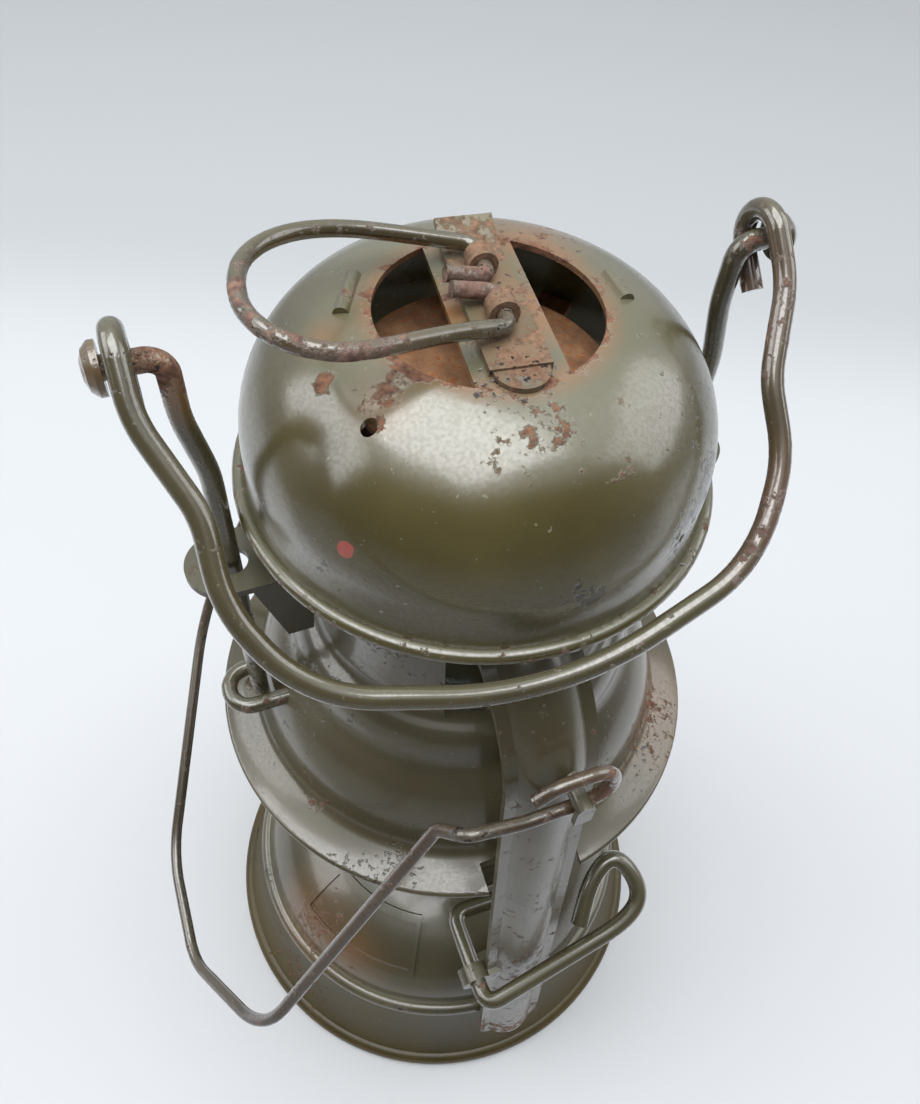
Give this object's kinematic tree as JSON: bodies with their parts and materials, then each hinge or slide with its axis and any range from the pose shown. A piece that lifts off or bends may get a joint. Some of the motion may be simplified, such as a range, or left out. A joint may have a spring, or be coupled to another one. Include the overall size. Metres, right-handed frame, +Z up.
{
  "type": "blackout lantern",
  "caption": "Tube-frame paraffin table lantern with a stepped blackout shade that lifts on rods, a domed hood with a ring, two wire bails, a globe lever and a wick knob.",
  "frame": {"origin": "centre of the foot ring, on the surface the lantern stands on", "axes": "+Z up along the lantern's axis, -Y towards the side tube with the lever, -X towards the side the ring lies on"},
  "size_m": [0.1352, 0.125, 0.2383],
  "materials": {
    "enamel": "glossy olive stove enamel, worn",
    "enamel_dark": "olive enamel, darkened",
    "enamel_wire": "olive enamel on wire, rubbed and rusted",
    "rusty_steel": "rusted sheet steel",
    "brass_parts": "dull brass",
    "clear_glass": "clear pressed glass",
    "cotton": "woven cotton",
    "gasket": "cork and rubber"
  },
  "bodies": {
    "frame": {"tank_base": "enamel", "tank_top": "enamel", "filler_neck": "brass_parts", "burner_collar": "brass_parts", "burner_body": "brass_parts", "burner_cone": "brass_parts", "wick_tube": "brass_parts", "tube_front": "enamel", "tube_back": "enamel", "crown": "enamel_dark", "chimney": "enamel_dark", "guide_bracket": "enamel_dark"},
    "shade": {"shade": "enamel", "shade_eyes": "enamel_wire", "rod_left": "enamel_wire", "rod_right": "enamel_wire"},
    "thick_bail": {"thick_bail": "enamel_wire"},
    "thin_bail": {"thin_bail": "enamel_wire"},
    "hood": {"hood": "enamel", "hood_spider": "rusty_steel", "baffle": "rusty_steel", "top_strap": "rusty_steel"},
    "ring": {"ring_handle": "enamel_wire"},
    "lever": {"globe_lever": "enamel_wire"},
    "globe": {"globe_gallery": "enamel_dark", "glass_globe": "clear_glass"},
    "knob": {"wick_spindle": "brass_parts", "wick_knob": "brass_parts"},
    "wick": {"wick": "cotton"},
    "cap": {"filler_cap": "enamel_dark", "cap_gasket": "gasket"}
  },
  "joints": [
    {"name": "shade_lift", "type": "slide", "parent": "frame", "child": "shade", "axis": [0, 0, 1], "range_m": [0, 0.008]},
    {"name": "thick_bail_swing", "type": "hinge", "parent": "shade", "child": "thick_bail", "pos_m": [0, 0, 0.2303], "axis": [-1, 0, 0], "range_deg": [0, 248]},
    {"name": "thin_bail_swing", "type": "hinge", "parent": "frame", "child": "thin_bail", "pos_m": [-0.0003, 0, 0.1695], "axis": [0, 1, 0], "range_deg": [0, 200]},
    {"name": "hood_lift", "type": "slide", "parent": "frame", "child": "hood", "axis": [0, 0, 1], "range_m": [0, 0.01]},
    {"name": "ring_swing", "type": "hinge", "parent": "hood", "child": "ring", "pos_m": [0.00081, 0.00182, 0.2302], "axis": [0.1132, 0.9936, 0], "range_deg": [0, 158]},
    {"name": "globe_lift", "type": "slide", "parent": "frame", "child": "globe", "axis": [0, 0, 1], "range_m": [0, 0.0058]},
    {"name": "lever_lift", "type": "hinge", "parent": "frame", "child": "lever", "pos_m": [-0.012, -0.06086, 0.0746], "axis": [0, -1, 0], "range_deg": [0, 11.7]},
    {"name": "knob_turn", "type": "hinge", "parent": "frame", "child": "knob", "pos_m": [0.0018, -0.00312, 0.061], "axis": [0.866, 0.5, 0], "range_deg": [0, 143]},
    {"name": "wick_raise", "type": "slide", "parent": "frame", "child": "wick", "axis": [0, 0, 1], "range_m": [0, 0.005]},
    {"name": "cap_turn", "type": "hinge", "parent": "frame", "child": "cap", "pos_m": [0.0165, 0.02858, 0.052], "axis": [0, 0, 1], "continuous": true}
  ],
  "couplings": [
    {"joint": "lever_lift", "follows": "globe_lift", "rad_per_m": 35.2},
    {"joint": "wick_raise", "follows": "knob_turn", "m_per_rad": 0.002}
  ]
}
